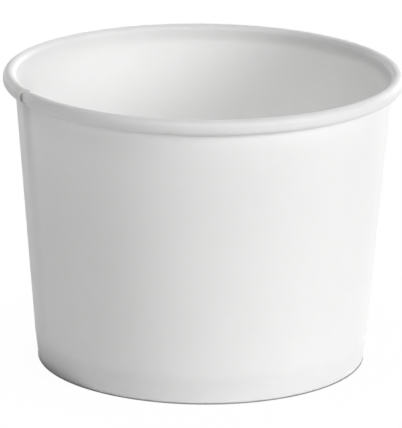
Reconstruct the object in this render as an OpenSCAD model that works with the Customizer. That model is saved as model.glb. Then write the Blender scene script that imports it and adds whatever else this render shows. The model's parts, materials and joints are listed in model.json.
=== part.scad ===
// Paper food container: a wrapped and sealed side wall with a rolled rim, and a recessed base.
// The origin is the middle of the foot, on the table. All lengths are in millimetres.

/* [Container] */
// Outside diameter across the rolled rim
rim_d = 98; // [90:0.5:120]
// Height from the table to the top of the rim
height = 72.5; // [50:0.5:110]
// Outside diameter of the wall at the table
foot_d = 81.3; // [70:0.1:88]

/* [Board] */
// Thickness of the coated board of the side wall
wall_t = 0.4; // [0.3:0.02:0.5]
// Thickness of the coated board of the base
base_t = 0.35; // [0.25:0.01:0.45]
// Thickness of the melted coating on each side of the skirt
seal_t = 0.03; // [0.02:0.01:0.06]

/* [Rolled rim] */
// Width of the roll, from the inside of the wall to its outermost point
roll_w = 3.16; // [2.8:0.02:3.8]
// Length of the straight stretch on the outside of the roll
roll_flat = 0.54; // [0.1:0.02:1]
// Room between the tucked edge of the roll and the doubled board of the seam
tuck_room = 0.15; // [0.05:0.05:0.3]

/* [Foot] */
// Height of the underside of the base above the table
base_lift = 7; // [5.5:0.1:12]
// Inside radius of the two bends of the folded foot
fold_r = 0.08; // [0.04:0.02:0.12]
// Inside radius of the bend from the base to its skirt
skirt_r = 0.7; // [0.3:0.05:1.5]
// Gap from the lower edge of the skirt to the inside of the fold
skirt_gap = 0.6; // [0.2:0.05:1]
// Gap from the upper edge of the hem to the bend of the base
hem_gap = 1; // [0.3:0.1:2]

/* [Side seam] */
// Direction of the outer edge of the seam, seen from above
seam_at = 200; // [0:1:359]
// Width of the overlap
overlap_w = 4.8; // [3:0.1:8]
// Length over which the board climbs onto its own end
climb_w = 4.8; // [3:0.1:8]
// Height over which the doubled board is pressed flat at the foot
seam_fade = 2; // [1:0.1:4]

/* [Hidden] */
$fn = 180;
// Largest turn between two points of a bend, in degrees
bend_step = 12;
// Steps in the climb and in the fade of the seam
climb_steps = 5;
fade_steps = 4;
// Depth to which the sealed stretches of the sheet melt into each other
bite = 0.02;
// Turn by which the climbing stretch reaches into the board on both sides, in degrees
reach = 0.3;

// Radii at the middle of the board
roll_mid_r = roll_w / 2 - wall_t / 2;
fold_mid_r = fold_r + wall_t / 2;
skirt_mid_r = skirt_r + base_t / 2;

// The wall runs from the foot to a tangent of the roll
foot_mid = [foot_d / 2 - wall_t / 2, 0];
roll_top = [rim_d / 2 - roll_w / 2, height - roll_w / 2];
roll_low = roll_top - [0, roll_flat];
wall_span = roll_top - foot_mid;
lean = atan2(wall_span[0], wall_span[1]) - asin(roll_mid_r / norm(wall_span));
up = [sin(lean), cos(lean)];
out = [cos(lean), -sin(lean)];

// The skirt lies between the wall and the hem
stack = wall_t + base_t + 2 * seal_t;
hem_mid = foot_mid - stack * out;
skirt_mid = foot_mid - stack / 2 * out;
base_z = base_lift + base_t / 2;
skirt_bend = along(skirt_mid - skirt_mid_r * out, base_z - skirt_mid_r);
fold_z = wall_t / 2 + fold_mid_r;
fold_in = along(hem_mid + fold_mid_r * out, fold_z);
fold_out = along(foot_mid - fold_mid_r * out, fold_z);

// The roll ends where its edge clears the doubled wall
wall_under_roll = along(foot_mid, roll_low[1] - roll_w / 2)[0] + wall_t / 2;
tuck_gap = wall_t + tuck_room;
tuck_turn = -acos((wall_under_roll + tuck_gap - roll_top[0]) / (roll_w / 2));

// Directions of the inner edge of the seam and of the start of the climb
wall_top_r = roll_top[0] - roll_mid_r;
inner_edge_at = seam_at + overlap_w / wall_top_r * 180 / PI;
climb_at = inner_edge_at + climb_w / wall_top_r * 180 / PI;

// Point at height z on a line that runs up along the wall
function along(from, z) = from + up * (z - from[1]) / up[1];

// Stations of a bend: a point, the direction of the sheet's outer face and the seam's share there
function bend(centre, r, a, b, face, share) =
    let (n = ceil(abs(b - a) / bend_step))
    [for (i = [0 : n])
        let (g = a + (b - a) * i / n, d = [cos(g), sin(g)])
        [centre + r * d, face * d, share]];

// Points at a distance from a path, plus a second distance where the seam has its full share
function side(path, d, seam_d = 0) = [for (s = path) s[0] + (d + seam_d * s[2]) * s[1]];

function backwards(list) = [for (i = [len(list) - 1 : -1 : 0]) list[i]];

// Outline of a board of thickness t along a path
function board(path, t, seam_d = 0) =
    concat(side(path, -t / 2, seam_d), backwards(side(path, t / 2, seam_d)));

// Stations of the rolled rim, whose tucked edge can be cut short
function roll_path(short) = concat(bend(roll_top, roll_mid_r, 180 - lean, 0, -1, 1),
    bend(roll_low, roll_mid_r, 0, tuck_turn + short / roll_mid_r * 180 / PI, -1, 1));

// Smooth rise from 0 to 1
function ease(u) = u * u * (3 - 2 * u);

// Path of the side wall's sheet, from the hem round the fold, up the wall and round the roll
hem_path = concat([[along(hem_mid, base_z - skirt_mid_r - hem_gap), -out, 0]],
    bend(fold_in, fold_mid_r, 180 - lean, 270, 1, 0));
fold_path = bend(fold_out, fold_mid_r, 270, 360 - lean, 1, 0);
wall_start = fold_path[len(fold_path) - 1][0];
fade_path = [for (i = [1 : fade_steps])
    [wall_start + up * seam_fade * i / fade_steps, out, i / fade_steps]];
upper_path = concat(fade_path, roll_path(0));
sheet_path = concat(hem_path, fold_path, upper_path);

// Path of the base's board, from the axis to the lower edge of the skirt
base_path = concat([[[0, base_z], [0, 1], 0]], bend(skirt_bend, skirt_mid_r, 90, -lean, 1, 0),
    [[along(skirt_mid, wall_t + skirt_gap), out, 0]]);

// Slice between two directions, open at the top, that parts the sheet above the fold
module seam_slice() {
    far = rim_d;
    a = inner_edge_at;
    b = climb_at;
    translate([0, 0, wall_start[1]])
        linear_extrude(height)
            polygon([[0, 0], far * [cos(a), sin(a)], far * [cos(b), sin(b)]]);
}

// Outer end of the sheet, lying on its inner end
module outer_end() {
    path = concat(fade_path, roll_path(2 * bite));
    under = side(path, wall_t / 2 - 2 * bite);
    over = side(path, wall_t / 2, wall_t);
    rotate([0, 0, seam_at])
        rotate_extrude(angle = inner_edge_at + reach / 2 - seam_at)
            polygon(concat([wall_start], under, backwards(over)));
}

// Stretch of the sheet that climbs from the wall's own surface onto its inner end
module climb() {
    path = concat(fold_path, fade_path, roll_path(bite));
    top_at = inner_edge_at + reach;
    turn = climb_at - reach - top_at;
    steps = concat([[inner_edge_at - reach, 1]],
        [for (i = [0 : climb_steps]) [top_at + turn * i / climb_steps, 1 - ease(i / climb_steps)]],
        [[climb_at + reach, 0]]);
    rings = [for (s = steps) [for (p = board(path, wall_t - 2 * bite, wall_t * s[1]))
        [p[0] * cos(s[0]), p[0] * sin(s[0]), p[1]]]];
    n = len(rings[0]);
    last = (len(rings) - 1) * n;
    skin = [for (k = [0 : len(rings) - 2], i = [0 : n - 1]) let (j = (i + 1) % n)
        [k * n + i, k * n + n + i, k * n + n + j, k * n + j]];
    first_end = [for (i = [0 : n / 2 - 2]) [i, i + 1, n - 2 - i, n - 1 - i]];
    last_end = [for (i = [0 : n / 2 - 2]) [last + n - 1 - i, last + n - 2 - i, last + i + 1, last + i]];
    polyhedron([for (ring = rings, p = ring) p], concat(skin, first_end, last_end));
}

module side_wall() {
    color("white") {
        difference() {
            rotate_extrude()
                polygon(board(sheet_path, wall_t));
            seam_slice();
        }
        outer_end();
        climb();
    }
}

module base_disc() {
    color("whitesmoke")
        rotate_extrude()
            polygon(board(base_path, base_t));
}

side_wall();
base_disc();
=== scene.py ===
"""Looks of a white paper food container: its wrapped wall with a rolled rim, and its recessed base."""

import json
import logging
import math
from dataclasses import dataclass
from enum import Enum
from typing import Any

import bmesh
import bpy
from mathutils import Euler, Matrix, Vector


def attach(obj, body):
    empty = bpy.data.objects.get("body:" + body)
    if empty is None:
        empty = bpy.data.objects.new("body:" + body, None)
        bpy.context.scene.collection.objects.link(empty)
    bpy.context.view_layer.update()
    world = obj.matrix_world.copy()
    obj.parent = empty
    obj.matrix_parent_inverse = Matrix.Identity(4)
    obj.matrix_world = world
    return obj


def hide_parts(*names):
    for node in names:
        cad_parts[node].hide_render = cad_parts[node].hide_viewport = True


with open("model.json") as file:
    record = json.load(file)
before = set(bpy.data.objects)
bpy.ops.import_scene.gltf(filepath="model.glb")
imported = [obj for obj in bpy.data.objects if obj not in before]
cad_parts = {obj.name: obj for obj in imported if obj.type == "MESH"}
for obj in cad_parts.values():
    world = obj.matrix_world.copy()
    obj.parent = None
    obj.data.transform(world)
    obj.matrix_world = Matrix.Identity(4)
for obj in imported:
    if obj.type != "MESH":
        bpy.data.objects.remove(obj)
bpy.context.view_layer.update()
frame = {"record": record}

log = logging.getLogger("container")

MM = 0.001
UP = Vector((0.0, 0.0, 1.0))
ORIGIN = Vector((0.0, 0.0, 0.0))
BODY = "root"
SHARP_ANGLE = 40.0
QUARTER = math.pi / 2.0


class Face(Enum):
    """The two faces of a board."""

    INNER = -1
    OUTER = 1


class Stretch(Enum):
    """The stretches of the wrapped sheet, in the order in which they go round."""

    OUTER_END = 0
    CLIMB = 1
    HUG = 2
    INNER_END = 3


class Mark(Enum):
    """Names of the values that a mesh carries: the first two for its finish, the rest while it is shaped."""

    CUT_EDGE = "cut_edge"
    KNURL = "knurl"
    FACE = "face"
    STRETCH = "stretch"
    END = "end"
    SHARE = "share"
    SLIT = "slit"
    OUTWARD = "outward"


def mount(name: str) -> dict[str, Any]:
    """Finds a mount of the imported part.

    Args:
        name: The mount's name in the record.

    Returns:
        The record's entry for that mount.
    """
    return next(entry for entry in frame["record"]["mounts"] if entry["name"] == name)


def slot_colour(slot: str) -> tuple[float, ...]:
    """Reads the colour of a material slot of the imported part.

    Args:
        slot: The slot's name in the record.

    Returns:
        The slot's colour with full opacity.
    """
    entry = next(entry for entry in frame["record"]["materials"] if entry["slot"] == slot)
    return (*entry["base_color"], 1.0)


def grey(level: float) -> tuple[float, ...]:
    """Makes a grey with full opacity."""
    return (level, level, level, 1.0)


def ease(share: float) -> float:
    """Rises smoothly from 0 to 1.

    Args:
        share: How far along the rise is, from 0 to 1.

    Returns:
        The eased share.
    """
    return share * share * (3.0 - 2.0 * share)


class Value:
    """A number socket that adds a Math node for each sum that Python does with it."""

    def __init__(self, table: "NodeTable", socket: bpy.types.NodeSocket) -> None:
        """Wraps a socket of a node table."""
        self.table = table
        self.socket = socket

    def math(self, operation: str, *operands: Any) -> "Value":
        """Adds one Math node.

        Args:
            operation: The Math node's operation.
            operands: Its inputs in order, as values or numbers.

        Returns:
            The node's result.
        """
        node = self.table.node("ShaderNodeMath", {"operation": operation}, dict(enumerate(operands)))
        return Value(self.table, node.outputs[0])

    def __add__(self, other: Any) -> "Value":
        """Adds a value or a number."""
        return self.math("ADD", self, other)

    __radd__ = __add__

    def __mul__(self, other: Any) -> "Value":
        """Multiplies by a value or a number."""
        return self.math("MULTIPLY", self, other)

    __rmul__ = __mul__

    def __sub__(self, other: Any) -> "Value":
        """Takes away a value or a number."""
        return self.math("SUBTRACT", self, other)

    def __rsub__(self, other: Any) -> "Value":
        """Is taken away from a number."""
        return self.math("SUBTRACT", other, self)

    def clamped(self) -> "Value":
        """Keeps the value from 0 to 1."""
        return self.math("MINIMUM", self.math("MAXIMUM", self, 0.0), 1.0)

    def sine(self) -> "Value":
        """Takes the sine of an angle in radians."""
        return self.math("SINE", self)

    def angle_to(self, other: "Value") -> "Value":
        """Takes the direction of the point (other, self) in radians."""
        return self.math("ARCTAN2", self, other)


class NodeTable:
    """The nodes of one material or world."""

    def __init__(self, owner: bpy.types.Material | bpy.types.World) -> None:
        """Starts from an empty node tree.

        Args:
            owner: The material or world that the nodes belong to.
        """
        owner.use_nodes = True
        self.tree = owner.node_tree
        self.tree.nodes.clear()

    def node(self, kind: str, settings: dict[str, Any] | None = None,
             sockets: dict[str | int, Any] | None = None) -> bpy.types.Node:
        """Adds one node.

        Args:
            kind: The node's type.
            settings: Its properties, which are set first.
            sockets: Numbers, colours or links for its inputs, by name or place.

        Returns:
            The new node.
        """
        node = self.tree.nodes.new(kind)
        for name, setting in (settings or {}).items():
            setattr(node, name, setting)
        for name, given in (sockets or {}).items():
            socket = node.inputs[name] if isinstance(name, int) else self.find(node.inputs, name)
            source = given.socket if isinstance(given, Value) else given
            if isinstance(source, bpy.types.NodeSocket):
                self.tree.links.new(source, socket)
            else:
                socket.default_value = source
        return node

    @staticmethod
    def find(sockets: Any, name: str) -> bpy.types.NodeSocket:
        """Finds the socket of that name that is in use on a node.

        Args:
            sockets: The inputs or outputs of a node.
            name: The socket's name.

        Returns:
            The first enabled socket of that name.
        """
        return next(socket for socket in sockets if socket.name == name and socket.enabled)

    def value(self, kind: str, output: str, settings: dict[str, Any] | None = None,
              sockets: dict[str | int, Any] | None = None) -> Value:
        """Adds a node and takes one number from it.

        Args:
            kind: The node's type.
            output: The name of the output to take.
            settings: Its properties.
            sockets: What its inputs hold.

        Returns:
            That output as a value.
        """
        return Value(self, self.find(self.node(kind, settings, sockets).outputs, output))

    def noise(self, place: bpy.types.NodeSocket, grain: float, detail: float) -> Value:
        """Adds a cloudy pattern.

        Args:
            place: Where on the piece, as a vector link.
            grain: Size of its patches, in metres.
            detail: How many finer layers it has.

        Returns:
            The pattern, from -1 to 1 and about 0 on average.
        """
        pattern = self.value("ShaderNodeTexNoise", "Fac", None,
                             {"Vector": place, "Scale": 1.0 / grain, "Detail": detail})
        return pattern * 2.0 - 1.0

    def mixed(self, share: Value, first: Any, second: Any) -> bpy.types.NodeSocket:
        """Mixes two colours.

        Args:
            share: 0 for the first colour, 1 for the second.
            first: A colour or a link.
            second: A colour or a link.

        Returns:
            A colour link.
        """
        mix = self.node("ShaderNodeMix", {"data_type": "RGBA"}, {"Factor": share, "A": first, "B": second})
        return self.find(mix.outputs, "Result")

    def mark(self, mark: Mark) -> Value:
        """Reads a value that the mesh carries."""
        return self.value("ShaderNodeAttribute", "Fac", {"attribute_name": mark.value})


@dataclass(frozen=True)
class BoardFinish:
    """Smooth white coated paperboard with a low sheen, raw where it is cut.

    Attributes:
        name: The material's name.
        slot: The slot of the record that gives the white.
        cut_edge_and_shade_colour, cut_roughness, cut_fibre: Looks of a cut edge, the last as extra height of
        its fibres; its grey is partly the raw board and partly painted shade, as of the crevices beside the
        board's ends.
        roughness, specular: Sheen of the coating.
        glow, glow_depth: How much light the board lets through, and how deep it goes.
        cloud, cloud_depth, cloud_detail: Size, strength and fineness of the clouds in the white.
        sheen_patch, sheen_depth, sheen_detail: The same for patches of sheen.
        fibre, fibre_rise, fibre_detail: Size, height and fineness of the fibres.
        cockle, cockle_rise, cockle_detail: The same for the board's waves.
        knurls, knurl_rise: How many knurls the hem has round it, and their height.
    """

    name: str
    slot: str
    # Partly the raw board's own tone, partly painted shade: darker than raw white board so that cut ends
    # read as shaded crevices.
    cut_edge_and_shade_colour: tuple[float, ...] = (0.6, 0.592, 0.575, 1.0)
    roughness: float = 0.55
    cut_roughness: float = 0.85
    specular: float = 0.3
    glow: float = 0.6
    glow_depth: float = 0.8 * MM
    cloud: float = 5.0 * MM
    cloud_depth: float = 0.012
    cloud_detail: float = 3.0
    sheen_patch: float = 9.0 * MM
    sheen_depth: float = 0.06
    sheen_detail: float = 2.0
    fibre: float = 0.35 * MM
    fibre_rise: float = 0.002 * MM
    fibre_detail: float = 4.0
    cut_fibre: float = 3.0
    cockle: float = 18.0 * MM
    cockle_rise: float = 0.01 * MM
    cockle_detail: float = 1.0
    knurls: int = 150
    knurl_rise: float = 0.05 * MM

    def material(self) -> bpy.types.Material:
        """Makes the finish.

        Returns:
            The new material.
        """
        material = bpy.data.materials.new(self.name)
        table = NodeTable(material)
        place = table.node("ShaderNodeTexCoord").outputs["Object"]
        cut = table.mark(Mark.CUT_EDGE).clamped()
        shader = table.node("ShaderNodeBsdfPrincipled", None, {
            "Base Color": self.colour(table, place, cut),
            "Roughness": self.sheen(table, place, cut),
            "Normal": self.relief(table, place, cut),
            "Specular IOR Level": self.specular,
            "Subsurface Weight": self.glow,
            "Subsurface Radius": (1.0, 1.0, 1.0),
            "Subsurface Scale": self.glow_depth,
        })
        table.node("ShaderNodeOutputMaterial", None, {"Surface": shader.outputs["BSDF"]})
        return material

    def colour(self, table: NodeTable, place: bpy.types.NodeSocket, cut: Value) -> bpy.types.NodeSocket:
        """Clouds the white coating faintly and shows raw board at the cut edges, in a grey that is partly
        painted shade.

        Args:
            table: The material's nodes.
            place: Where on the piece.
            cut: 1 on a cut edge.

        Returns:
            A colour link.
        """
        white = slot_colour(self.slot)
        deeper = (*(channel * (1.0 - 2.0 * self.cloud_depth) for channel in white[:3]), 1.0)
        cloud = (table.noise(place, self.cloud, self.cloud_detail) * 0.5 + 0.5).clamped()
        # The cut edges take a grey that is partly painted shade.
        return table.mixed(cut, table.mixed(cloud, white, deeper), self.cut_edge_and_shade_colour)

    def sheen(self, table: NodeTable, place: bpy.types.NodeSocket, cut: Value) -> Value:
        """Varies the sheen of the coating, which a cut edge lacks.

        Args:
            table: The material's nodes.
            place: Where on the piece.
            cut: 1 on a cut edge.

        Returns:
            The roughness.
        """
        coated = table.noise(place, self.sheen_patch, self.sheen_detail) * self.sheen_depth + self.roughness
        return coated * (1.0 - cut) + cut * self.cut_roughness

    def relief(self, table: NodeTable, place: bpy.types.NodeSocket, cut: Value) -> bpy.types.NodeSocket:
        """Raises the fibres under the coating, the board's faint waves and the knurls of the hem.

        Args:
            table: The material's nodes.
            place: Where on the piece.
            cut: 1 on a cut edge.

        Returns:
            A normal link.
        """
        axes = table.node("ShaderNodeSeparateXYZ", None, {"Vector": place})
        x, y = (Value(table, axes.outputs[axis]) for axis in ("X", "Y"))
        knurl = (y.angle_to(x) * float(self.knurls)).sine() * table.mark(Mark.KNURL) * self.knurl_rise
        rough = (1.0 + cut * self.cut_fibre) * self.fibre_rise
        fibre = table.noise(place, self.fibre, self.fibre_detail) * rough
        cockle = table.noise(place, self.cockle, self.cockle_detail) * self.cockle_rise
        bump = table.node("ShaderNodeBump", None, {"Height": knurl + fibre + cockle, "Distance": 1.0})
        return bump.outputs["Normal"]


class BoardPen:
    """Draws the section of a board: a nib as wide as the board moves along and leaves a strip of faces."""

    def __init__(self, mesh: bmesh.types.BMesh, board: float, start: Vector, heading: float) -> None:
        """Puts the nib down in the XZ plane.

        Args:
            mesh: The mesh to draw in.
            board: Thickness of the board.
            start: Middle of the board where the section starts.
            heading: Direction of travel in radians, from +X towards +Z.
        """
        self.mesh = mesh
        self.heading = heading
        left, right = (mesh.verts.new(start + self.left() * board * half) for half in (0.5, -0.5))
        self.nib = [left, right, mesh.edges.new((left, right))]

    def left(self) -> Vector:
        """Points to the left of the direction of travel."""
        return Vector((-math.sin(self.heading), 0.0, math.cos(self.heading)))

    def ahead(self) -> Vector:
        """Points in the direction of travel."""
        return Vector((math.cos(self.heading), 0.0, math.sin(self.heading)))

    def points(self) -> list[bmesh.types.BMVert]:
        """Lists the two ends of the nib, the left one first."""
        return [part for part in self.nib if isinstance(part, bmesh.types.BMVert)]

    def mark(self, layer: Any, number: float) -> None:
        """Gives both ends of the nib a number, which the strip takes on from there."""
        for point in self.points():
            point[layer] = number

    def middle(self) -> Vector:
        """Finds the middle of the nib."""
        left, right = self.points()
        return (left.co + right.co) / 2.0

    def sweep(self, centre: Vector, turn: float, step: Vector, steps: int) -> None:
        """Moves the nib and leaves faces behind it.

        Args:
            centre: Point about which the nib turns.
            turn: Whole turn to the left, in radians.
            step: Way that the nib is pushed in each step.
            steps: How many faces to leave.
        """
        moved = bmesh.ops.spin(self.mesh, geom=self.nib, cent=centre, axis=(0.0, -1.0, 0.0), dvec=step,
                               angle=turn, steps=steps)["geom_last"]
        self.heading += turn
        self.nib = sorted(moved, key=self.order)

    def order(self, part: Any) -> float:
        """Sorts the nib's parts from left to right.

        Args:
            part: A vertex or the edge of the nib.

        Returns:
            A key that is lowest for the left end.
        """
        if isinstance(part, bmesh.types.BMVert):
            return -part.co.dot(self.left())
        return math.inf

    def line(self, length: float, steps: int = 1) -> None:
        """Draws a straight stretch.

        Args:
            length: Its length.
            steps: How many faces it has.
        """
        self.sweep(self.middle(), 0.0, self.ahead() * length / steps, steps)

    def bend(self, radius: float, turn: float, steps: int) -> None:
        """Draws a bend.

        Args:
            radius: Its radius at the middle of the board.
            turn: Its turn in radians, positive to the left.
            steps: How many faces it has.
        """
        centre = self.middle() + self.left() * math.copysign(radius, turn)
        self.sweep(centre, turn, ORIGIN, steps)


def finished_piece(name: str, mesh: bmesh.types.BMesh, finish: BoardFinish, node: str) -> bpy.types.Object:
    """Turns a mesh into a dressed piece that stands for a node of the part.

    Args:
        name: The piece's name.
        mesh: Its mesh, which is used up.
        finish: Its finish.
        node: The node that it replaces.

    Returns:
        The new object.
    """
    bmesh.ops.recalc_face_normals(mesh, faces=mesh.faces[:])
    for face in mesh.faces:
        face.smooth = True
    data = bpy.data.meshes.new(name)
    mesh.to_mesh(data)
    mesh.free()
    data.set_sharp_from_angle(angle=math.radians(SHARP_ANGLE))
    data.materials.append(finish.material())
    piece = bpy.data.objects.new(name, data)
    bpy.context.scene.collection.objects.link(piece)
    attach(piece, BODY)
    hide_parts(node)
    return piece


@dataclass
class SideWall:
    """One sheet of board: hem, folded foot, tapered wall and rolled rim, lapped in a side seam.

    Attributes:
        finish: The sheet's finish.
        rim_r, height, foot_r: Outer sizes of the container.
        board: Thickness of the sheet.
        roll_w, roll_flat, tuck_room: Width of the roll, its straight stretch and the room at its edge.
        skirt_room, hem_top, fold_r: Room for the base's skirt, height of the hem and radius of its folds.
        press, press_h: How far the foot is pressed inward, and up to which height.
        seam_at: Where the edge of the outer end lies, in degrees.
        overlap_w, climb_w, seam_fade, seal: Widths of the overlap and of the climb beside it, the height
            over which it fades at the foot, and the gap between its boards.
        slit, slit_w, slit_turn: Opening under the outer end on the roll, its width, and the degrees of the
            roll over which it opens.
        knurl_clear: Share of the hem that is left smooth at either end.
        lap_lead: Degrees that the finer steps of the inner end reach past the overlap.
        turn_step, seam_step, bend_step: Degrees of one face, round the wall, round the seam and in a bend.
        hem_steps, fold_steps, fade_steps, press_steps, wall_steps, slit_steps: Faces in each stretch of the
            section.
        cut_facing: How squarely a face looks along the way round where it is a cut end.
    """

    finish: BoardFinish
    rim_r: float
    height: float
    foot_r: float = 40.65 * MM
    board: float = 0.4 * MM
    roll_w: float = 3.16 * MM
    roll_flat: float = 0.54 * MM
    tuck_room: float = 0.15 * MM
    skirt_room: float = 0.41 * MM
    hem_top: float = 5.3 * MM
    fold_r: float = 0.08 * MM
    press: float = 0.3 * MM
    press_h: float = 7.0 * MM
    seam_at: float = 200.0
    overlap_w: float = 4.8 * MM
    climb_w: float = 4.8 * MM
    seam_fade: float = 2.0 * MM
    seal: float = 0.01 * MM
    slit: float = 0.3 * MM
    slit_w: float = 0.7 * MM
    slit_turn: float = 45.0
    knurl_clear: float = 0.1
    lap_lead: float = 1.0
    turn_step: float = 1.0
    seam_step: float = 0.5
    bend_step: float = 10.0
    hem_steps: int = 4
    fold_steps: int = 2
    fade_steps: int = 5
    press_steps: int = 3
    wall_steps: int = 18
    slit_steps: int = 5
    cut_facing: float = 0.9

    def __post_init__(self) -> None:
        """Works out the course of the sheet from its sizes."""
        self.roll_mid_r = (self.roll_w - self.board) / 2.0
        self.fold_mid_r = self.fold_r + self.board / 2.0
        self.foot_mid = Vector((self.foot_r - self.board / 2.0, 0.0, 0.0))
        self.roll_top = Vector((self.rim_r - self.roll_w / 2.0, 0.0, self.height - self.roll_w / 2.0))
        span = self.roll_top - self.foot_mid
        self.lean = math.atan2(span.x, span.z) - math.asin(self.roll_mid_r / span.length)
        self.up = Vector((math.sin(self.lean), 0.0, math.cos(self.lean)))
        self.out = Vector((math.cos(self.lean), 0.0, -math.sin(self.lean)))
        self.hem_mid = self.foot_mid - self.out * (self.board + self.skirt_room)

    def along(self, start: Vector, height: float) -> Vector:
        """Follows a line that runs up along the wall.

        Args:
            start: A point on that line.
            height: The height to reach.

        Returns:
            The point at that height.
        """
        return start + self.up * (height - start.z) / self.up.z

    def lap_turn(self, width: float) -> float:
        """Turns a width along the seam into degrees round the rim."""
        return math.degrees(width / (self.roll_top.x - self.roll_mid_r))

    def tuck_turn(self) -> float:
        """Finds how far the roll turns under before its edge nears the doubled wall.

        Returns:
            The turn below the roll's outermost point, in radians.
        """
        lowest = self.roll_top.z - self.roll_flat - self.roll_w / 2.0
        wall_r = self.along(self.foot_mid, lowest).x + self.board / 2.0
        edge_r = wall_r + self.board + self.tuck_room
        return math.acos((edge_r - self.roll_top.x) / (self.roll_w / 2.0))

    def steps(self, turn: float) -> int:
        """Counts the faces of a bend of that turn in radians."""
        return max(1, round(math.degrees(abs(turn)) / self.bend_step))

    def draw_section(self, mesh: bmesh.types.BMesh) -> None:
        """Draws the sheet's section, from the hem round the foot, up the wall and round the roll.

        Args:
            mesh: The mesh to draw in, which has the layers that the sheet needs.
        """
        marks = (Mark.SHARE, Mark.SLIT, Mark.KNURL)
        share, slit, knurl = (mesh.verts.layers.float[mark.value] for mark in marks)
        side, end = (mesh.verts.layers.int[mark.value] for mark in (Mark.FACE, Mark.END))
        fold_z = self.board / 2.0 + self.fold_mid_r
        fold_in = self.along(self.hem_mid + self.out * self.fold_mid_r, fold_z)
        fold_out = self.along(self.foot_mid - self.out * self.fold_mid_r, fold_z)
        hem_start = self.along(self.hem_mid, self.hem_top)
        hem_length = (hem_start - fold_in + self.out * self.fold_mid_r).length
        wall_start = fold_out + self.out * self.fold_mid_r
        wall_length = (self.roll_top - self.out * self.roll_mid_r - wall_start).length
        press_length = (self.press_h - wall_start.z) / self.up.z

        pen = BoardPen(mesh, self.board, hem_start, -QUARTER - self.lean)
        for point, face in zip(pen.points(), (Face.INNER, Face.OUTER)):
            point[side] = face.value
        pen.mark(end, 1)
        pen.line(hem_length * self.knurl_clear)
        pen.mark(end, 0)
        pen.mark(knurl, 1.0)
        pen.line(hem_length * (1.0 - 2.0 * self.knurl_clear), self.hem_steps)
        pen.line(hem_length * self.knurl_clear)
        pen.mark(knurl, 0.0)
        pen.bend(self.fold_mid_r, QUARTER + self.lean, self.steps(QUARTER))
        pen.line(fold_out.x - fold_in.x, self.fold_steps)
        pen.bend(self.fold_mid_r, QUARTER - self.lean, self.steps(QUARTER))
        for step in range(1, self.fade_steps + 1):
            pen.line(self.seam_fade / self.fade_steps)
            pen.mark(share, step / self.fade_steps)
        pen.line(press_length - self.seam_fade, self.press_steps)
        pen.line(wall_length - press_length, self.wall_steps)
        slit_turn = math.radians(self.slit_turn)
        roll_turn = math.pi - self.lean - slit_turn
        pen.bend(self.roll_mid_r, -roll_turn, self.steps(roll_turn))
        for step in range(1, self.slit_steps + 1):
            pen.bend(self.roll_mid_r, -slit_turn / self.slit_steps, 1)
            pen.mark(slit, ease(step / self.slit_steps))
        pen.line(self.roll_flat)
        pen.bend(self.roll_mid_r, -self.tuck_turn(), self.steps(self.tuck_turn()))
        pen.mark(end, 1)

    def wrap(self, mesh: bmesh.types.BMesh) -> None:
        """Takes the section round, from the outer end of the sheet to its inner end.

        Args:
            mesh: The mesh that holds the section.
        """
        stretch = mesh.verts.layers.int[Mark.STRETCH.value]
        lap = self.lap_turn(self.overlap_w)
        climb = self.lap_turn(self.climb_w)
        turns = {
            Stretch.OUTER_END: (lap, self.seam_step),
            Stretch.CLIMB: (climb, self.seam_step),
            Stretch.HUG: (360.0 - lap - climb - self.lap_lead, self.turn_step),
            Stretch.INNER_END: (self.lap_lead + lap, self.seam_step),
        }
        bmesh.ops.rotate(mesh, verts=mesh.verts[:], cent=ORIGIN,
                         matrix=Matrix.Rotation(math.radians(self.seam_at), 3, "Z"))
        front = mesh.verts[:] + mesh.edges[:] + mesh.faces[:]
        for name, (turn, step) in turns.items():
            known = set(mesh.verts)
            front = bmesh.ops.spin(mesh, geom=front, cent=ORIGIN, axis=UP, angle=math.radians(turn),
                                   steps=math.ceil(turn / step))["geom_last"]
            for point in set(mesh.verts) - known:
                point[stretch] = name.value

    def rise(self, stretch: Stretch, around: float, face: Face, share: float, slit: float) -> float:
        """Finds how far the sheet lies off its plain course in the seam.

        Args:
            stretch: The stretch of the sheet.
            around: Degrees past the inner edge of the seam.
            face: The face of the sheet.
            share: 1 where the board is doubled, 0 where it is pressed flat.
            slit: 1 where the inner end stands open, 0 where it is sealed down.

        Returns:
            The distance towards the outer face.
        """
        doubled = self.board + self.seal
        pressed = (1.0 - share) * doubled / 2.0
        if stretch is Stretch.INNER_END:
            return -pressed if face is Face.OUTER else 0.0
        above = share * doubled + (0.0 if face is Face.OUTER else pressed)
        opened = slit * self.slit
        if stretch is Stretch.OUTER_END:
            return above + opened
        above *= 1.0 - ease(min(1.0, around / self.lap_turn(self.climb_w)))
        return above + opened * (1.0 - ease(min(1.0, around / self.lap_turn(self.slit_w))))

    def lap(self, mesh: bmesh.types.BMesh) -> None:
        """Lays the outer end of the sheet onto its inner end.

        Args:
            mesh: The wrapped sheet.
        """
        stretch, face = (mesh.verts.layers.int[mark.value] for mark in (Mark.STRETCH, Mark.FACE))
        share, slit = (mesh.verts.layers.float[mark.value] for mark in (Mark.SHARE, Mark.SLIT))
        outward = mesh.verts.layers.float_vector[Mark.OUTWARD.value]
        inner_edge = self.seam_at + self.lap_turn(self.overlap_w)
        for point in mesh.verts:
            if point[stretch] == Stretch.HUG.value:
                continue
            azimuth = math.atan2(point.co.y, point.co.x)
            around = (math.degrees(azimuth) - inner_edge) % 360.0
            rise = self.rise(Stretch(point[stretch]), around, Face(point[face]), point[share], point[slit])
            point.co += Matrix.Rotation(azimuth, 3, "Z") @ point[outward] * rise

    def press_foot(self, mesh: bmesh.types.BMesh) -> None:
        """Presses the foot inward, as the tool that seals the hem leaves it.

        Args:
            mesh: The wrapped sheet or the base that it holds.
        """
        for point in mesh.verts:
            inward = self.press * max(0.0, 1.0 - point.co.z / self.press_h)
            point.co.xy *= 1.0 - inward / self.foot_r

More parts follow.
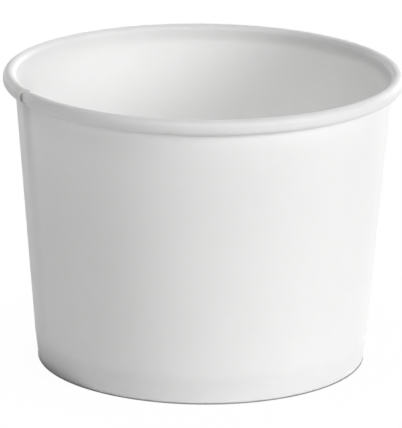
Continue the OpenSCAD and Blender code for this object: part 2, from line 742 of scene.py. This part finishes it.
    def build(self) -> bpy.types.Object:
        """Builds and dresses the sheet.

        Returns:
            The finished piece.
        """
        mesh = bmesh.new()
        for mark in (Mark.FACE, Mark.STRETCH, Mark.END):
            mesh.verts.layers.int.new(mark.value)
        for mark in (Mark.SHARE, Mark.SLIT, Mark.KNURL):
            mesh.verts.layers.float.new(mark.value)
        outward = mesh.verts.layers.float_vector.new(Mark.OUTWARD.value)
        cut = mesh.faces.layers.float.new(Mark.CUT_EDGE.value)
        face, end = (mesh.verts.layers.int[mark.value] for mark in (Mark.FACE, Mark.END))
        self.draw_section(mesh)
        for edge in mesh.edges:
            inner, outer = sorted(edge.verts, key=lambda point: point[face])
            if inner[face] != outer[face]:
                inner[outward] = outer[outward] = (outer.co - inner.co).normalized()
        self.wrap(mesh)
        self.lap(mesh)
        self.press_foot(mesh)
        for side in mesh.faces:
            faces = {point[face] for point in side.verts}
            facing = abs(side.calc_center_median().cross(UP).normalized().dot(side.normal))
            if all(point[end] for point in side.verts) or (len(faces) == 2 and facing > self.cut_facing):
                side[cut] = 1.0
        return finished_piece("wrapped_wall", mesh, self.finish, "side_wall")


@dataclass
class BaseDisc:
    """The base: a disc of board with a skirt turned down all round, held between wall and hem.

    Attributes:
        finish: The base's finish.
        wall: The side wall that holds it.
        board: Thickness of the disc.
        lift: Height of its underside.
        bend_r: Inner radius of the bend into the skirt.
        skirt_gap: Gap between the skirt and the foot of the wall.
        flat_steps, skirt_steps, turn_steps: Faces along the disc, along the skirt and all round.
        merge: Distance below which points become one.
    """

    finish: BoardFinish
    wall: SideWall
    board: float = 0.35 * MM
    lift: float = 7.0 * MM
    bend_r: float = 0.7 * MM
    skirt_gap: float = 0.6 * MM
    flat_steps: int = 10
    skirt_steps: int = 4
    turn_steps: int = 240
    merge: float = 0.001 * MM

    def draw_section(self, mesh: bmesh.types.BMesh) -> None:
        """Draws the section from the axis to the lower edge of the skirt.

        Args:
            mesh: The mesh to draw in.
        """
        wall = self.wall
        mid_r = self.bend_r + self.board / 2.0
        base_z = self.lift + self.board / 2.0
        skirt_mid = wall.foot_mid - wall.out * (wall.board + wall.skirt_room) / 2.0
        bend = wall.along(skirt_mid - wall.out * mid_r, base_z - mid_r)
        skirt_end = wall.along(skirt_mid, wall.board + self.skirt_gap)
        turn = QUARTER + wall.lean
        pen = BoardPen(mesh, self.board, Vector((0.0, 0.0, base_z)), 0.0)
        pen.line(bend.x, self.flat_steps)
        pen.bend(mid_r, -turn, wall.steps(turn))
        pen.line((pen.middle() - skirt_end).length, self.skirt_steps)

    def build(self) -> bpy.types.Object:
        """Builds and dresses the base.

        Returns:
            The finished piece.
        """
        mesh = bmesh.new()
        cut = mesh.faces.layers.float.new(Mark.CUT_EDGE.value)
        self.draw_section(mesh)
        outline = [edge for edge in mesh.edges if edge.is_boundary]
        outline = [edge for edge in outline if max(point.co.x for point in edge.verts) > self.board]
        bmesh.ops.delete(mesh, geom=mesh.faces[:], context="FACES_ONLY")
        inside = [edge for edge in mesh.edges if edge not in outline]
        bmesh.ops.delete(mesh, geom=inside, context="EDGES_FACES")
        bmesh.ops.spin(mesh, geom=mesh.verts[:] + mesh.edges[:], cent=ORIGIN, axis=UP, angle=math.tau,
                       steps=self.turn_steps, use_merge=True)
        bmesh.ops.remove_doubles(mesh, verts=mesh.verts[:], dist=self.merge)
        self.wall.press_foot(mesh)
        lowest = min(point.co.z for point in mesh.verts)
        for side in mesh.faces:
            if side.calc_center_median().z < lowest + self.board / 2.0:
                side[cut] = 1.0
        return finished_piece("pressed_base", mesh, self.finish, "base_disc")


@dataclass(frozen=True)
class SunLamp:
    """A soft studio lamp that is far away.

    Attributes:
        name: The lamp's name.
        azimuth, elevation: Where its light comes from, in degrees.
        spread: How wide it looks, in degrees.
        strength: Its strength.
    """

    name: str
    azimuth: float
    elevation: float
    spread: float
    strength: float

    def hang(self) -> bpy.types.Object:
        """Adds the lamp to the scene.

        Returns:
            The lamp.
        """
        data = bpy.data.lights.new(self.name, "SUN")
        data.energy = self.strength
        data.angle = math.radians(self.spread)
        lamp = bpy.data.objects.new(self.name, data)
        lamp.rotation_euler = Euler((0.0, math.radians(90.0 - self.elevation), math.radians(self.azimuth)))
        bpy.context.scene.collection.objects.link(lamp)
        return lamp


@dataclass(frozen=True)
class Studio:
    """A white floor, a dark room that looks white, and soft lamps.

    Attributes:
        foot_r: Radius of the container's foot.
        floor_r, floor_sides, floor_colour: Size and colour of the floor.
        painted_contact_shadow_colour, contact_w, contact_shift: A painted contact shadow: a dark ring
        painted on the floor round the foot and shifted to the front, where the camera also sees the floor's
        real shadow.
        far_shade, far_w: How much of the object's shadow the floor shows round the foot, and how far.
        painted_shade_colour, painted_shade_r, painted_shade_w, painted_shade_shift: Painted shade: a dark
        round patch painted on the floor beside the foot, which only darkens the wall low on the left through
        the light that the floor bounces.
        lamps: The lamps.
    """

    foot_r: float
    floor_r: float = 3.0
    floor_sides: int = 64
    floor_colour: float = 0.9
    # Painted contact shadow: the floor's colour is painted this dark in a thin ring round the foot.
    painted_contact_shadow_colour: float = 0.45
    contact_w: float = 0.2 * MM
    contact_shift: tuple[float, float, float] = (0.0, -0.25 * MM, 0.0)
    far_shade: float = 0.02
    far_w: float = 45.0 * MM
    # Painted shade: a dark patch painted on the floor by the foot's left, seen only by bounced light,
    # darkens the wall's lower left.
    painted_shade_colour: float = 0.02
    painted_shade_r: float = 24.5 * MM
    painted_shade_w: float = 2.5 * MM
    painted_shade_shift: tuple[float, float, float] = (-19.0 * MM, -6.2 * MM, 0.0)
    lamps: tuple[SunLamp, ...] = (
        SunLamp("key_lamp", azimuth=330.0, elevation=19.0, spread=25.0, strength=1.96),
        SunLamp("back_lamp", azimuth=60.0, elevation=8.0, spread=20.0, strength=1.22),
        SunLamp("high_lamp", azimuth=90.0, elevation=35.0, spread=20.0, strength=0.5),
        SunLamp("edge_lamp", azimuth=125.0, elevation=10.0, spread=20.0, strength=0.4),
        SunLamp("top_lamp", azimuth=210.0, elevation=65.0, spread=20.0, strength=0.65),
        SunLamp("front_lamp", azimuth=270.0, elevation=25.0, spread=20.0, strength=0.69),
    )

    def seen_directly(self, table: NodeTable) -> Value:
        """Tells the rays that show the background from those that light the object.

        Args:
            table: The nodes to add to.

        Returns:
            1 for camera, glossy and transmission rays.
        """
        rays = table.node("ShaderNodeLightPath")
        names = ("Is Camera Ray", "Is Glossy Ray", "Is Transmission Ray")
        camera, glossy, through = (Value(table, rays.outputs[name]) for name in names)
        return (camera + glossy + through).clamped()

    def nearness(self, table: NodeTable, centre: tuple[float, ...], radius: float, reach: float) -> Value:
        """Finds how near a place on the floor is to a circle.

        Args:
            table: The floor's nodes.
            centre: The middle of the circle.
            radius: The radius of the circle.
            reach: The distance from the circle at which nothing is left.

        Returns:
            1 inside the circle and 0 from that distance on.
        """
        place = table.node("ShaderNodeTexCoord").outputs["Object"]
        away = table.value("ShaderNodeVectorMath", "Value", {"operation": "DISTANCE"}, {0: place, 1: centre})
        return (1.0 - (away - radius) * (1.0 / reach)).clamped()

    def lay_floor(self) -> bpy.types.Object:
        """Lays the floor.

        Returns:
            The floor.
        """
        mesh = bmesh.new()
        bmesh.ops.create_circle(mesh, cap_ends=True, segments=self.floor_sides, radius=self.floor_r)
        data = bpy.data.meshes.new("floor")
        mesh.to_mesh(data)
        mesh.free()
        material = bpy.data.materials.new("white_floor")
        table = NodeTable(material)
        # Painted contact shadow: a ring round the foot, shifted to the front, where the floor's colour is
        # painted dark and the camera sees the lit floor.
        contact = self.nearness(table, self.contact_shift, self.foot_r, self.contact_w)
        far = self.nearness(table, self.contact_shift, self.foot_r, self.far_w)
        # Painted shade: a round patch beside the foot where the floor's colour is painted dark; only bounced
        # light sees it.
        painted_shade_patch = self.nearness(table, self.painted_shade_shift, self.painted_shade_r, self.painted_shade_w)
        shade = contact * (1.0 - self.far_shade) + far * self.far_shade
        colour = table.mixed(painted_shade_patch, grey(self.floor_colour), grey(self.painted_shade_colour))
        colour = table.mixed(contact, colour, grey(self.painted_contact_shadow_colour))
        lit = table.node("ShaderNodeBsdfDiffuse", None, {"Color": colour})
        white = table.node("ShaderNodeEmission", None, {"Strength": 1.0})
        shown = table.node("ShaderNodeMixShader", None, {
            "Fac": self.seen_directly(table) * (1.0 - shade.clamped()),
            1: lit.outputs["BSDF"],
            2: white.outputs["Emission"],
        })
        table.node("ShaderNodeOutputMaterial", None, {"Surface": shown.outputs["Shader"]})
        data.materials.append(material)
        floor = bpy.data.objects.new("floor", data)
        bpy.context.scene.collection.objects.link(floor)
        return floor

    def paint_room(self) -> bpy.types.World:
        """Makes the room dark, but white where it is seen.

        Returns:
            The world.
        """
        world = bpy.data.worlds.new("room")
        table = NodeTable(world)
        background = table.node("ShaderNodeBackground", None, {
            "Color": grey(1.0),
            "Strength": self.seen_directly(table),
        })
        table.node("ShaderNodeOutputWorld", None, {"Surface": background.outputs["Background"]})
        bpy.context.scene.world = world
        return world

    def set_up(self) -> None:
        """Sets up the floor, the room and the lamps."""
        self.lay_floor()
        self.paint_room()
        for lamp in self.lamps:
            lamp.hang()
        bpy.context.scene.view_settings.view_transform = "Standard"


@dataclass(frozen=True)
class PhotoCamera:
    """The camera of the photograph.

    Attributes:
        image: The photograph's size in pixels.
        focal_px: Focal length in those pixels.
        sensor: Width of the sensor, in millimetres.
        elevation, roll: Its tilt, in degrees.
        distance, aim: Its distance from the point that it looks at, and that point.
    """

    image: tuple[int, int] = (402, 428)
    focal_px: float = 4238.4
    sensor: float = 36.0
    elevation: float = 16.27
    distance: float = 1.0456
    aim: tuple[float, float, float] = (-0.28 * MM, 0.0, 35.77 * MM)
    roll: float = 0.62

    def place(self) -> bpy.types.Object:
        """Adds the camera and makes it the scene's own.

        Returns:
            The camera.
        """
        data = bpy.data.cameras.new("photo_camera")
        data.sensor_width = self.sensor
        data.lens = self.focal_px * self.sensor / max(self.image)
        camera = bpy.data.objects.new("photo_camera", data)
        tilt = math.radians(90.0 - self.elevation)
        turned = Matrix.Rotation(tilt, 4, "X") @ Matrix.Rotation(math.radians(self.roll), 4, "Z")
        back = turned.to_3x3() @ UP
        camera.matrix_world = Matrix.Translation(Vector(self.aim) + back * self.distance) @ turned
        bpy.context.scene.collection.objects.link(camera)
        bpy.context.scene.camera = camera
        return camera


def main() -> None:
    """Builds the container and its studio, and reports each piece."""
    logging.basicConfig(level=logging.INFO, format="%(message)s")
    seat = mount("lid_seat")
    wall = SideWall(
        finish=BoardFinish("coated_wall_board", "wall_board"),
        rim_r=seat["dims"]["r_mm"] * MM,
        height=seat["pos_m"][2],
    )
    base = BaseDisc(finish=BoardFinish("coated_base_board", "base_board"), wall=wall)
    for part in (wall, base):
        piece = part.build()
        log.info("%s: %d faces", piece.name, len(piece.data.polygons))
    Studio(foot_r=wall.foot_r - wall.press).set_up()
    PhotoCamera().place()


if __name__ == "__main__":
    main()
